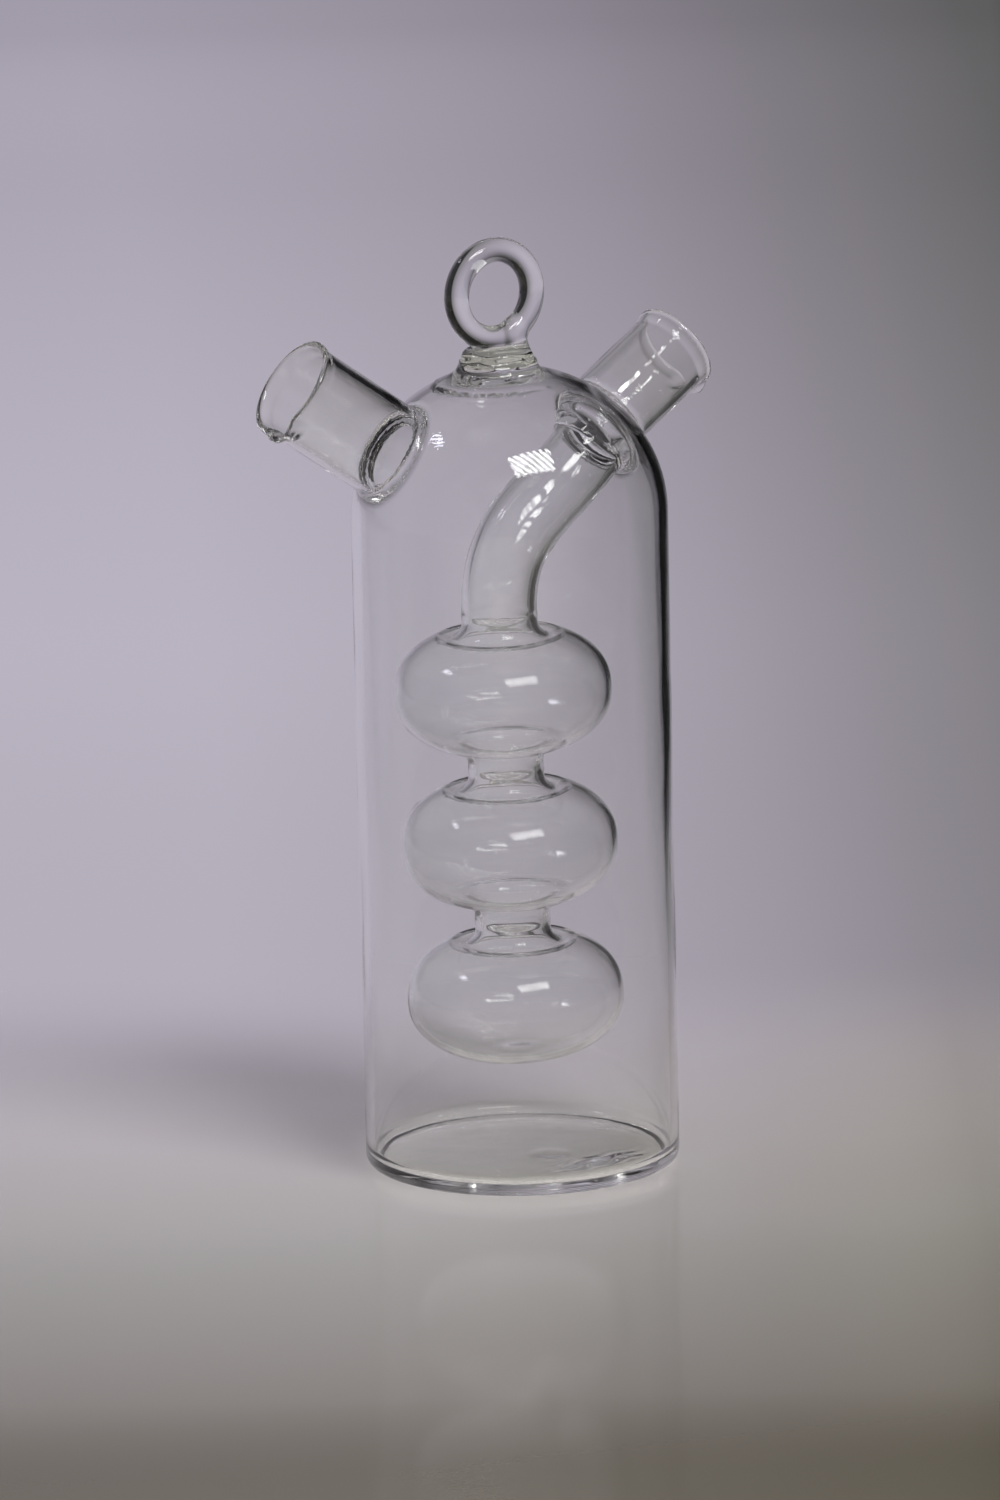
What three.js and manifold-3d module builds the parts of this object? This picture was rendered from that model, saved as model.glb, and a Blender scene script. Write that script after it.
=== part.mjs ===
// Dual oil and vinegar dispenser in clear flame-worked glass: a bottle with two spouts and, fused inside
// it, a second vessel of three flattened bulbs that pours through the spout on the other side.
// Millimetres, +Z up. The origin is the middle of the base where it stands, and the spouts lie along X.
import * as THREE from "three";
import { mergeVertices } from "three/addons/utils/BufferGeometryUtils.js";
import Module from "manifold-3d";

// Outer vessel
const bodyDiameter = 57;
const bodyWall = 1.6;
const straightWallTop = 119.6;
const shoulderHeight = 26.8;

// Base that closes the outer vessel
const floorThickness = 2;
const baseHeight = 5.4;
const footRounding = 1.8;
const floorFillet = 3;

// Spouts: reach is measured along the spout's axis from the shoulder to the rim, rise is the axis above
// level, and the axis height is where that axis crosses the middle of the bottle
const spoutWall = 1.3;
const spoutSweepAngle = 7.5;
const leftDiameter = 17.8;
const leftReach = 22.7;
const leftRiseAngle = 36;
const leftAxisHeight = 116.1;
const leftHoleDiameter = 12;
const rightDiameter = 15.8;
const rightReach = 19.7;
const rightRiseAngle = 30.4;
const rightAxisHeight = 120.8;
const rightHoleDiameter = 10.4;
const rimFlare = 0.6;
const rootFlare = 1;
const rootFlareHeight = 2.6;

// Pouring lip pinched into each rim, at the lowest point turned by the twist
const lipReach = 2.4;
const lipSetBack = 1.2;
const lipLength = 5;
const lipHalfAngle = 30;
const leftLipTwistAngle = 28;
const rightLipTwistAngle = -4;

// Inner vessel: three bulbs on one axis that leans a little to the left, as fused by hand
const insertLeanAngle = 1.5;
const bulbDiameter = 39.3;
const bulbHeight = 23.6;
const bulbWall = 0.9;
const bulbSquareness = 2.3;
const bulbPitch = 28.3;
const lowestBulbCentre = 31.1;
const moatDepth = 0.9;
const moatWidth = 3;
const waistFillet = 2.4;
const seamHeight = 13.2;
const seamBead = 0.35;
const pontilDepth = 0.6;
const pontilWidth = 3.2;

// Neck tube of the inner vessel, bent up to the right spout. It ends set back along the spout's axis and
// a little below it, and a short cup widens from there to the seal on the inside of the shoulder
const neckDiameter = 13.6;
const neckWall = 1.2;
const neckBendLower = 16.4;
const neckBendUpper = 16.7;
const neckEndRiseAngle = 41.6;
const sealSetBack = 6;
const sealDrop = 2.6;
const sealDiameter = 17.6;
const sealFlareLength = 1.8;

// Button fused on the crown, and the loop on it. The glass is drawn up to the button in a hollow curve, an
// ellipse's arc from one angle below level to another
const buttonDiameter = 13.4;
const buttonTopDiameter = 12.4;
const buttonHeight = 2.5;
const buttonRounding = 0.6;
const buttonOffset = -1.9;
const seatRise = 0.9;
const seatFlareWidth = 9;
const seatFlareHeight = 7;
const seatFlareFromAngle = 20;
const seatFlareToAngle = 59;
const loopWidth = 20.4;
const loopHeight = 20.5;
const loopRod = 4.5;
const loopOffset = -0.4;
const loopSink = 0.3;
const stemOffset = 4.2;
const stemFootDiameter = 6.4;

// Clear space left where two pieces are fused along a curved or leaning joint
const weldGap = 0.3;

// Facets round each kind of piece
const bodySides = 48;
const spoutSides = 36;
const bulbSides = 30;
const neckSides = 24;
const neckSteps = 8;
const rodSides = 10;
const loopSteps = 32;
const domeSteps = 9;
const bulbSteps = 5;
const bottomSteps = 7;
const arcSteps = 3;
const rimSteps = 4;

const wasm = await Module();
wasm.setup();

const rad = THREE.MathUtils.degToRad;
const bodyRadius = bodyDiameter / 2;
const crownHeight = straightWallTop + shoulderHeight;
const buttonSeat = crownHeight + seatRise;
const bulbCentres = [0, 1, 2].map((i) => lowestBulbCentre + i * bulbPitch);

// Geometry to a manifold solid, and back
function solidOf(geometry) {
  const bare = geometry.clone();
  bare.deleteAttribute("normal");
  bare.deleteAttribute("uv");
  const merged = mergeVertices(bare, 1e-4);
  return new wasm.Manifold(
    new wasm.Mesh({
      numProp: 3,
      vertProperties: merged.attributes.position.array,
      triVerts: new Uint32Array(merged.index.array),
    }),
  );
}

function geometryOf(solid) {
  const mesh = solid.getMesh();
  const geometry = new THREE.BufferGeometry();
  geometry.setAttribute("position", new THREE.BufferAttribute(mesh.vertProperties, 3));
  geometry.setIndex(new THREE.BufferAttribute(mesh.triVerts, 1));
  geometry.computeVertexNormals();
  return geometry;
}

// Points [radius, height] that go up the outside and end on the axis or on themselves, turned about +Z
function turned(points, sides) {
  const outline = points.map(([radius, height]) => new THREE.Vector2(radius, height));
  return new THREE.LatheGeometry(outline, sides).rotateX(Math.PI / 2);
}

// A shell between two outlines that both run upwards
function turnedShell(outer, inner, sides) {
  return turned([...outer, ...inner.slice().reverse(), outer[0]], sides);
}

// Points on an arc of an ellipse, from one angle to another in degrees
function arc([x, y], [rx, ry], from, to, steps) {
  return Array.from({ length: steps + 1 }, (_, i) => {
    const angle = rad(THREE.MathUtils.lerp(from, to, i / steps));
    return [x + rx * Math.cos(angle), y + ry * Math.sin(angle)];
  });
}

// Moves every vertex of a geometry by a function of its place
function reshaped(geometry, move) {
  const position = geometry.attributes.position;
  const point = new THREE.Vector3();
  for (let i = 0; i < position.count; i++) {
    move(point.fromBufferAttribute(position, i));
    position.setXYZ(i, point.x, point.y, point.z);
  }
  return geometry;
}

// The body's round outline, grown by an offset, from a bottom height to the crown
function bodyBlank(offset, bottom) {
  const radius = bodyRadius + offset;
  const dome = arc([0, straightWallTop], [radius, shoulderHeight + offset], 0, 90, domeSteps);
  dome[domeSteps][0] = 0;
  return solidOf(turned([[0, bottom], [radius, bottom], ...dome], bodySides));
}

// The glass drawn up from the crown to carry the button
function crownSeat() {
  const centre = [
    buttonDiameter / 2 + seatFlareWidth * Math.cos(rad(seatFlareFromAngle)),
    buttonSeat + seatFlareHeight * Math.sin(rad(seatFlareFromAngle)),
  ];
  const size = [seatFlareWidth, seatFlareHeight];
  const flare = arc(centre, size, 180 + seatFlareToAngle, 180 + seatFlareFromAngle, arcSteps);
  const [footRadius, footHeight] = flare[0];
  const bottom = footHeight - bodyWall;
  const outline = [[0, bottom], [footRadius, bottom], ...flare, [0, buttonSeat]];
  return solidOf(turned(outline, bodySides).translate(buttonOffset, 0, 0));
}

// One spout's place: its root on the shoulder, its axis, and a frame with X towards the middle of the lip
function spoutPlace(bearing, rise, axisHeight, twist) {
  const slope = Math.tan(rad(rise));
  const below = axisHeight - straightWallTop;
  const a = 1 / bodyRadius ** 2 + (slope / shoulderHeight) ** 2;
  const b = (2 * below * slope) / shoulderHeight ** 2;
  const c = (below / shoulderHeight) ** 2 - 1;
  const out = (-b + Math.sqrt(b * b - 4 * a * c)) / (2 * a);
  const level = new THREE.Vector3(Math.cos(rad(bearing)), Math.sin(rad(bearing)), 0);
  const up = new THREE.Vector3(0, 0, 1);
  const axis = level.clone().multiplyScalar(Math.cos(rad(rise)));
  axis.addScaledVector(up, Math.sin(rad(rise)));
  const down = axis.clone().multiplyScalar(axis.z).sub(up).normalize();
  const lip = down.clone().applyAxisAngle(axis, rad(twist));
  const root = level.clone().multiplyScalar(out);
  root.z = axisHeight + slope * out;
  const frame = new THREE.Matrix4().makeBasis(lip, axis.clone().cross(lip), axis);
  return { root, axis, down, frame: frame.setPosition(root) };
}

// A straight drill along a spout's axis, for the hole that it covers
function drill(place, diameter) {
  const radius = diameter / 2;
  const end = bodyRadius / 2;
  const bar = turned([[0, -end], [radius, -end], [radius, end], [0, end]], neckSides);
  return solidOf(bar.applyMatrix4(place.frame));
}

// Draws the rim out to a narrow channel at +X of the spout's own frame
function pinchLip(point, reach) {
  const radius = Math.hypot(point.x, point.y);
  const turn = Math.abs(Math.atan2(point.y, point.x)) / rad(lipHalfAngle);
  const along = THREE.MathUtils.smoothstep(point.z, reach - lipLength, reach);
  if (turn >= 1 || along === 0) return;
  const pull = Math.cos((turn * Math.PI) / 2) ** 2 * along;
  const scale = (radius + lipReach * pull) / radius;
  point.set(point.x * scale, point.y * scale, point.z - lipSetBack * pull * along);
}

// A spout: a short tube flared at its root, where it is fused to the shoulder, with a fire-polished rim
function spout(place, diameter, reach) {
  const outerRadius = diameter / 2;
  const bore = outerRadius - spoutWall;
  const dip = bodyRadius - Math.sqrt(bodyRadius ** 2 - outerRadius ** 2);
  const buried = dip + bodyWall;
  const flareTop = rootFlareHeight - dip;
  const foot = outerRadius + rootFlare;
  const flare = arc([foot, flareTop], [rootFlare, rootFlareHeight], 270, 180, arcSteps);
  const bead = spoutWall / 2;
  const rim = arc([bore + rimFlare + bead, reach - bead], [bead, bead], 0, 180, rimSteps);
  const shaft = [reach - 2 * lipLength, reach - lipLength, reach - lipLength / 2];
  const outer = [[foot, -buried], ...flare, ...shaft.map((z) => [outerRadius, z])];
  const inner = [[bore, -buried], [bore, flareTop], ...shaft.map((z) => [bore, z])];
  const shell = turnedShell([...outer, ...rim], inner, spoutSides);
  reshaped(shell, (point) => pinchLip(point, reach));
  return solidOf(shell.applyMatrix4(place.frame)).subtract(bodyBlank(weldGap, 0));
}

function baseDisc() {
  const bore = bodyRadius - bodyWall;
  const footCentre = [bodyRadius - footRounding, footRounding];
  const foot = arc(footCentre, [footRounding, footRounding], 270, 360, arcSteps);
  const cornerCentre = [bore - floorFillet, floorThickness + floorFillet];
  const corner = arc(cornerCentre, [floorFillet, floorFillet], 360, 270, rimSteps);
  const top = [[bodyRadius, baseHeight], [bore, baseHeight]];
  return solidOf(turned([[0, 0], ...foot, ...top, ...corner, [0, floorThickness]], bodySides));
}

// Outline of one half of a bulb from its widest point to the tube on its axis, as [radius, height]
function bulbHalf(radius, halfHeight, tubeRadius, dip) {
  const foot = neckDiameter / 2 + waistFillet;
  const surface = (r) =>
    halfHeight * (1 - (r / radius) ** bulbSquareness) ** (1 / bulbSquareness) -
    dip * Math.exp(-(((r - neckDiameter / 2) / moatWidth) ** 2));
  const lastAngle = Math.acos((foot / radius) ** (bulbSquareness / 2));
  const side = Array.from({ length: bulbSteps + 1 }, (_, i) => {
    const r = radius * Math.cos((lastAngle * i) / bulbSteps) ** (2 / bulbSquareness);
    return [r, surface(r)];
  });
  side[0][1] = 0;
  const fillet = foot - tubeRadius;
  const turn = arc([foot, surface(foot) + fillet], [fillet, fillet], 270, 180, arcSteps);
  return [...side, ...turn.slice(1)];
}

// The lower half of the last bulb, closed by a rounded bottom with a shallow dimple
function closedHalf(radius, halfHeight) {
  return Array.from({ length: bottomSteps + 1 }, (_, i) => {
    const turn = (Math.PI / 2) * (i / bottomSteps);
    const r = i === bottomSteps ? 0 : radius * Math.cos(turn) ** (2 / bulbSquareness);
    const z = halfHeight * Math.sin(turn) ** (2 / bulbSquareness);
    return [r, z - pontilDepth * Math.exp(-((r / pontilWidth) ** 2))];
  });
}

// A bulb about its own centre, with the mouth that takes the tube above it. Its waist, drawn from its
// bottom, reaches down to the seam on the next bulb, and the last bulb is closed instead.
function bulb(closed) {
  const upside = (half) => half.slice(1).reverse().map(([r, z]) => [r, -z]);
  const outline = (inset, tubeInset, bead) => {
    const radius = bulbDiameter / 2 - inset;
    const halfHeight = bulbHeight / 2 - inset;
    const tubeRadius = neckDiameter / 2 - tubeInset;
    const above = bulbHalf(radius, halfHeight, tubeRadius, moatDepth);
    const open = bulbHalf(radius, halfHeight, tubeRadius, moatDepth / 2);
    const below = closed ? closedHalf(radius, halfHeight) : open;
    const tail = closed ? [] : [[tubeRadius, seamHeight + weldGap - bulbPitch]];
    return [...tail, ...upside(below), ...above, [tubeRadius + bead, seamHeight]];
  };
  const outer = outline(0, 0, seamBead);
  const inner = outline(bulbWall, neckWall, 0);
  const joined = closed ? [...outer, ...inner.reverse()] : [...outer, ...inner.reverse(), outer[0]];
  return turned(joined, bulbSides);
}

// The neck: a tube that leaves the upper bulb along the leaning axis, bends over to the right spout and
// flares to the ring where it is sealed to the inside of the shoulder
function neckTube(place) {
  const lean = new THREE.Vector3(Math.sin(rad(-insertLeanAngle)), 0, Math.cos(rad(-insertLeanAngle)));
  const start = lean.clone().multiplyScalar(bulbCentres[2] + seamHeight + weldGap);
  const end = place.root.clone().addScaledVector(place.axis, -sealSetBack);
  end.addScaledVector(place.down, sealDrop);
  const level = end.clone().sub(start).setZ(0).normalize();
  const arrival = level.clone().multiplyScalar(Math.cos(rad(neckEndRiseAngle)));
  arrival.z = Math.sin(rad(neckEndRiseAngle));
  const path = new THREE.CubicBezierCurve3(
    start,
    start.clone().addScaledVector(lean, neckBendLower),
    end.clone().addScaledVector(arrival, -neckBendUpper),
    end,
  );
  const length = path.getLength();
  const cupTop = length + sealFlareLength + 2 * sealSetBack;
  const heights = Array.from({ length: neckSteps + 1 }, (_, i) => (length * i) / neckSteps);
  const outline = (tubeRadius, sealRadius) => {
    const size = [sealRadius - tubeRadius, sealFlareLength];
    const flare = arc([tubeRadius, length + sealFlareLength], size, 270, 360, arcSteps);
    return [...heights.map((s) => [tubeRadius, s]), ...flare.slice(1), [sealRadius, cupTop]];
  };
  const shell = turnedShell(
    outline(neckDiameter / 2, sealDiameter / 2),
    outline(neckDiameter / 2 - neckWall, sealDiameter / 2 - neckWall),
    neckSides,
  );
  const across = new THREE.Vector3(0, 0, 1).cross(level).normalize();
  reshaped(shell, (point) => {
    const { x, y, z } = point;
    const tangent = path.getTangentAt(THREE.MathUtils.clamp(z / length, 0, 1));
    const past = Math.max(z - length, 0);
    point.copy(path.getPointAt(THREE.MathUtils.clamp(z / length, 0, 1)));
    point.addScaledVector(tangent, past).addScaledVector(across, y);
    point.addScaledVector(across.clone().cross(tangent), x);
  });
  return solidOf(shell).intersect(bodyBlank(-bodyWall - weldGap, 0));
}

function topButton() {
  const foot = buttonDiameter / 2;
  const head = buttonTopDiameter / 2;
  const centre = [head - buttonRounding, buttonHeight - buttonRounding];
  const edge = arc(centre, [buttonRounding, buttonRounding], 0, 90, arcSteps);
  return turned([[0, 0], [foot, 0], ...edge, [0, buttonHeight]], bulbSides);
}

// The loop: a ring of solid rod on a stem that spreads where it meets the button
function hangingLoop() {
  const rodRadius = loopRod / 2;
  const ringRadius = loopHeight / 2 - rodRadius;
  const stretch = (loopWidth - loopHeight) / 2;
  const centre = loopHeight / 2 - loopSink;
  const ring = new THREE.TorusGeometry(ringRadius, rodRadius, rodSides, loopSteps);
  reshaped(ring, (point) => point.setX(point.x + (stretch * point.x) / Math.hypot(point.x, point.y)));
  ring.rotateX(Math.PI / 2).translate(0, 0, centre);
  const stemTop = centre - Math.sqrt(ringRadius ** 2 - stemOffset ** 2);
  const spread = stemFootDiameter / 2 - rodRadius;
  const foot = arc([stemFootDiameter / 2, spread], [spread, spread], 270, 180, arcSteps);
  const stem = turned([[0, 0], ...foot, [rodRadius, stemTop], [0, stemTop]], rodSides * 2);
  stem.translate(stemOffset, 0, 0);
  const above = turned([[0, 0], [loopWidth, 0], [loopWidth, loopHeight], [0, loopHeight]], rodSides);
  return solidOf(ring).add(solidOf(stem)).intersect(solidOf(above));
}

const clearGlass = { color: 0xe6ebe6, roughness: 0.04, metalness: 0, transparent: true, opacity: 0.35 };
const thickGlass = { color: 0xc3d2a8, roughness: 0.06, metalness: 0, transparent: true, opacity: 0.55 };

function piece(name, geometry, finish = clearGlass) {
  const mesh = new THREE.Mesh(geometry, new THREE.MeshStandardMaterial({ ...finish, name }));
  mesh.name = name;
  return mesh;
}

const left = spoutPlace(180 - spoutSweepAngle, leftRiseAngle, leftAxisHeight, leftLipTwistAngle);
const right = spoutPlace(spoutSweepAngle, rightRiseAngle, rightAxisHeight, rightLipTwistAngle);

const dispenser = new THREE.Group();
const outerVessel = bodyBlank(0, baseHeight)
  .add(crownSeat())
  .subtract(bodyBlank(-bodyWall, 0))
  .subtract(drill(left, leftHoleDiameter))
  .subtract(drill(right, rightHoleDiameter));
dispenser.add(
  piece("outer_vessel", geometryOf(outerVessel)),
  piece("base_disc", geometryOf(baseDisc()), thickGlass),
  piece("left_spout", geometryOf(spout(left, leftDiameter, leftReach))),
  piece("right_spout", geometryOf(spout(right, rightDiameter, rightReach))),
  piece("neck_tube", geometryOf(neckTube(right))),
);

const insert = new THREE.Group();
insert.rotation.y = rad(-insertLeanAngle);
["lower_bulb", "middle_bulb", "upper_bulb"].forEach((name, i) => {
  const mesh = piece(name, bulb(i === 0));
  mesh.position.z = bulbCentres[i];
  insert.add(mesh);
});
dispenser.add(insert);

const crown = new THREE.Group();
crown.position.set(buttonOffset, 0, buttonSeat);
const loop = piece("hanging_loop", geometryOf(hangingLoop()));
loop.position.set(loopOffset, 0, buttonHeight);
crown.add(piece("top_button", topButton(), thickGlass), loop);
dispenser.add(crown);

export default dispenser;
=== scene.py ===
# Dual oil and vinegar dispenser, lampworked in clear borosilicate glass: the looks that go over the CAD solids.
# The ten blanks are drawn here as the fused glass really is, with a fillet at every weld. Each stays a piece of
# its own, cut from its neighbour on a flat plane through the weld.
import math

import bmesh
import bpy
import numpy as np
from mathutils import Matrix


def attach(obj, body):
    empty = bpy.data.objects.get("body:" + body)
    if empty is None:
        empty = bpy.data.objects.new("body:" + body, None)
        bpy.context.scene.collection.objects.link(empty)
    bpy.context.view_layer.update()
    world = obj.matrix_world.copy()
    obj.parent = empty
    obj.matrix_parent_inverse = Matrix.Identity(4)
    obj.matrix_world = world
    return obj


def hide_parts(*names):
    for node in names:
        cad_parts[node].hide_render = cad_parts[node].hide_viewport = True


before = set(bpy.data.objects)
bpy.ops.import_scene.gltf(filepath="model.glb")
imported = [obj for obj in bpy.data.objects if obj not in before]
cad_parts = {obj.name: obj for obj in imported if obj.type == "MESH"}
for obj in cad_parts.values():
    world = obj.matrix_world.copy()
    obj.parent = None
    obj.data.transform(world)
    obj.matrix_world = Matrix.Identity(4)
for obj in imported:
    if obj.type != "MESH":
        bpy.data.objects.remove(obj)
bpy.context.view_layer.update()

# ---- Sizes in millimetres and angles in degrees. They are the CAD source's, but for some tenths at the floor, at the
# moats on the bulbs and at the melted edges and fillets ----
BODY_RADIUS = 28.5
BODY_WALL = 1.6
STRAIGHT_WALL_TOP = 119.6
SHOULDER_HEIGHT = 26.8
FLOOR_THICKNESS = 1.8
BASE_HEIGHT = 5.4
FOOT_ROUNDING = 1.8
FLOOR_FILLET = 2.3
FOLD_CENTRE = (5.6, -16.2)
FOLD_WAY = (0.991, 0.131)
FOLD_LENGTH = 6.0
FOLD_WIDTH = 2.6
FOLD_HEIGHT = 0.36
DENT_CENTRE = (2.0, -6.1)
DENT_RADIUS = 3.4
DENT_DEPTH = 0.14

SPOUT_WALL = 1.3
SPOUT_FILLET = 2.0
# along a spout's axis from its root: the seam, and where its blank, bore and hole start and end
SPOUT_SEAM = 3.3
BLANK_FROM = -9
BORE_FROM = -5
HOLE_TO = 1
PAST_SEAM = 3
BORE_EDGE_ROUNDING = 0.6
HOLE_EDGE_ROUNDING = 0.5
HOLE_RIM_FILLET = 0.9
RIM_FLARE = 0.6
RIM_LENGTH = 3
LIP_REACH = 2.4
LIP_SET_BACK = 1.2
LIP_LENGTH = 5.0
LIP_HALF_ANGLE = 30.0

INSERT_LEAN = 1.5
BULB_RADIUS = 19.65
BULB_HALF_HEIGHT = 11.8
BULB_WALL = 0.9
BULB_SQUARENESS = 2.3
BULB_CENTRES = (31.1, 59.4, 87.7)
SEAM_HEIGHT = 13.35
# the hollow round each waist, where the bulb was pulled in
MOAT_DEPTH = 1.2
MOAT_FLOOR = 8.4
MOAT_RIM = 11.4
LOWER_MOAT_SHARE = 1 / 3
LOWER_DIMPLE = 0.6
DIMPLE_RADIUS = 3.2
WAIST_FILLET = 2.4
WAIST_FILLET_INSIDE = 3.4
# the seam between two bulbs stands up a little
SEAM_BEAD = 0.12
SEAM_BEAD_WIDTH = 0.9

NECK_RADIUS = 6.8
NECK_WALL = 1.2
NECK_START = 101.2
NECK_BEND_LOWER = 16.4
NECK_BEND_UPPER = 16.7
NECK_END_RISE = 41.6
SEAL_SET_BACK = 6.0
SEAL_DROP = 2.6
SEAL_RADIUS = 8.8
SEAL_LENGTH = 14
SEAL_ROUNDING = 1.9
SEAL_FILLET = 0.9
SEAL_CORNER_OUTSIDE = 1.3
SEAL_CORNER_INSIDE = 0.7
# measured along the neck's end: how far back its cup belongs to the shoulder, and where the neck is cut off
SEAL_REACH = -6
NECK_SEAM = -1.6
# the bent neck lies above this height
NECK_MODEL_FROM = 92

BUTTON_X = -1.9
BUTTON_SEAT = 147.3
BUTTON_TOP = 149.8
LOOP_SEAM = 150.25
BUTTON_RADIUS = 6.7
BUTTON_HEAD_RADIUS = 6.2
BUTTON_EDGE_ROUNDING = 1.0
BUTTON_FILLET = 1.1
BUTTON_ROOT = 4.5
SEAT_REACH = 11
CROWN_FILLET = 1.2
# the crown is drawn up in a hollow curve, a quarter of a flattened ring
HOLLOW_RING_RADIUS = 15.16
HOLLOW_RING_HEIGHT = 149.69
HOLLOW_WIDTH = 9.0
HOLLOW_DROP = 7.0
LOOP_X = -2.3
LOOP_CENTRE = 159.75
LOOP_RING_RADIUS = 8.0
LOOP_ROD_RADIUS = 2.25
STEM_OFFSET = 4.2
STEM_REACH = -14
LOOP_END_FILLET = 0.7
LOOP_FILLET = 1.3


def unit(vector):
    return np.asarray(vector, float) / np.linalg.norm(vector)


class SpoutPlace:
    """Where a spout leaves the shoulder: root, axis, and the direction of its pinched lip."""

    def __init__(self, bearing, rise, axis_height, twist, diameter, reach, hole_radius):
        bearing, rise, twist = (math.radians(a) for a in (bearing, rise, twist))
        slope = math.tan(rise)
        below = axis_height - STRAIGHT_WALL_TOP
        a = 1 / BODY_RADIUS**2 + (slope / SHOULDER_HEIGHT) ** 2
        b = 2 * below * slope / SHOULDER_HEIGHT**2
        c = (below / SHOULDER_HEIGHT) ** 2 - 1
        out = (-b + math.sqrt(b * b - 4 * a * c)) / (2 * a)
        level = np.array([math.cos(bearing), math.sin(bearing), 0.0])
        up = np.array([0.0, 0.0, 1.0])
        self.axis = level * math.cos(rise) + up * math.sin(rise)
        self.down = unit(self.axis * self.axis[2] - up)
        self.lip = self.down * math.cos(twist) + np.cross(self.axis, self.down) * math.sin(twist)
        self.across = np.cross(self.axis, self.lip)
        self.root = level * out + up * (axis_height + slope * out)
        self.radius = diameter / 2
        self.bore = self.radius - SPOUT_WALL
        self.reach = reach
        self.hole_radius = hole_radius

    def measure(self, p):
        """Distance along the axis from the root, distance from the axis, and the turn from the lip."""
        q = p - self.root
        u, v = q @ self.lip, q @ self.across
        return q @ self.axis, np.hypot(u, v), np.arctan2(v, u)


left = SpoutPlace(172.5, 36.0, 116.1, 28.0, 17.8, 22.7, 6.0)
right = SpoutPlace(7.5, 30.4, 120.8, -4.0, 15.8, 19.7, 5.2)

lean = np.array([-math.sin(math.radians(INSERT_LEAN)), 0.0, math.cos(math.radians(INSERT_LEAN))])
neck_start = lean * NECK_START
neck_end = right.root - right.axis * SEAL_SET_BACK + right.down * SEAL_DROP
neck_level = unit((neck_end - neck_start) * (1, 1, 0))
neck_arrival = neck_level * math.cos(math.radians(NECK_END_RISE)) + np.array(
    [0.0, 0.0, math.sin(math.radians(NECK_END_RISE))]
)
NECK_PATH = np.array(
    [
        neck_start,
        neck_start + lean * NECK_BEND_LOWER,
        neck_end - neck_arrival * NECK_BEND_UPPER,
        neck_end,
    ]
)


# ---- Joining and cutting forms, each given by its distance to the surface, negative inside ----
def welded(a, b, fillet):
    """Two forms fused, with a round fillet in the corner between them."""
    u, v = np.maximum(fillet - a, 0), np.maximum(fillet - b, 0)
    return np.maximum(fillet, np.minimum(a, b)) - np.sqrt(u * u + v * v)


def polished(a, b, rounding):
    """What two forms share, with the edge between them melted round."""
    return -welded(-a, -b, rounding)


def smooth_step(x, low, high):
    t = np.clip((x - low) / (high - low), 0, 1)
    return t * t * (3 - 2 * t)


def flattened_to(r, height, radius, half_height):
    """Distance to a dome of revolution; exact on its surface."""
    a, b = radius, half_height
    k0 = np.sqrt((r / a) ** 2 + (height / b) ** 2)
    k1 = np.sqrt((r / a**2) ** 2 + (height / b**2) ** 2)
    return k0 / k1 * (k0 - 1)


def bottle(p, inset):
    r = np.sqrt(p[:, 0] ** 2 + p[:, 1] ** 2 + 1e-9)
    height = np.maximum(p[:, 2] - STRAIGHT_WALL_TOP, 0)
    return flattened_to(r, height, BODY_RADIUS - inset, SHOULDER_HEIGHT - inset)


def seat_and_button(p):
    """The glass drawn up from the crown in a hollow curve, and the button fused on it."""
    r = np.hypot(p[:, 0] - BUTTON_X, p[:, 1])
    z = p[:, 2]
    off_ring = np.abs(r - HOLLOW_RING_RADIUS) + 1e-6
    hollow = flattened_to(off_ring, np.abs(z - HOLLOW_RING_HEIGHT), HOLLOW_WIDTH, HOLLOW_DROP)
    seat = np.maximum(np.maximum(-hollow, z - BUTTON_SEAT), np.maximum(r - SEAT_REACH, BUTTON_SEAT - HOLLOW_DROP - z))
    slope = (BUTTON_RADIUS - BUTTON_HEAD_RADIUS) / (BUTTON_TOP - BUTTON_SEAT)
    side = r - BUTTON_RADIUS + slope * np.maximum(z - BUTTON_SEAT, 0)
    button = np.maximum(polished(side, z - BUTTON_TOP, BUTTON_EDGE_ROUNDING), BUTTON_SEAT - BUTTON_ROOT - z)
    # it was melted on by hand, so its side is a little lumpy
    turn = np.arctan2(p[:, 1], p[:, 0] - BUTTON_X)
    lumps = 0.17 * np.sin(3 * turn + 1.7 * z) + 0.12 * np.sin(5 * turn - 2.3 * z)
    melt = lumps * np.exp(-(((z - BUTTON_SEAT - 0.8) / 2.0) ** 2)) * smooth_step(r, 3.5, 5.5)
    return welded(seat, button, BUTTON_FILLET) + melt


def loop(p):
    """A rod bent round to its own stem, with the free end laid against it."""
    x, y, z = p[:, 0] - LOOP_X, p[:, 1], p[:, 2] - LOOP_CENTRE
    rod = LOOP_ROD_RADIUS
    around = np.hypot(x, z)
    ring = np.hypot(around - LOOP_RING_RADIUS, y) - rod
    stem_top = -math.sqrt(LOOP_RING_RADIUS**2 - STEM_OFFSET**2)
    lift = z - np.clip(z, STEM_REACH, stem_top)
    stem = np.sqrt((x - STEM_OFFSET) ** 2 + y**2 + lift**2) - rod
    return welded(ring, stem, LOOP_END_FILLET)


def spout_blank(p, place):
    along, r, _ = place.measure(p)
    return np.maximum(r - place.radius, np.maximum(BLANK_FROM - along, along - SPOUT_SEAM - PAST_SEAM))


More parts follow.
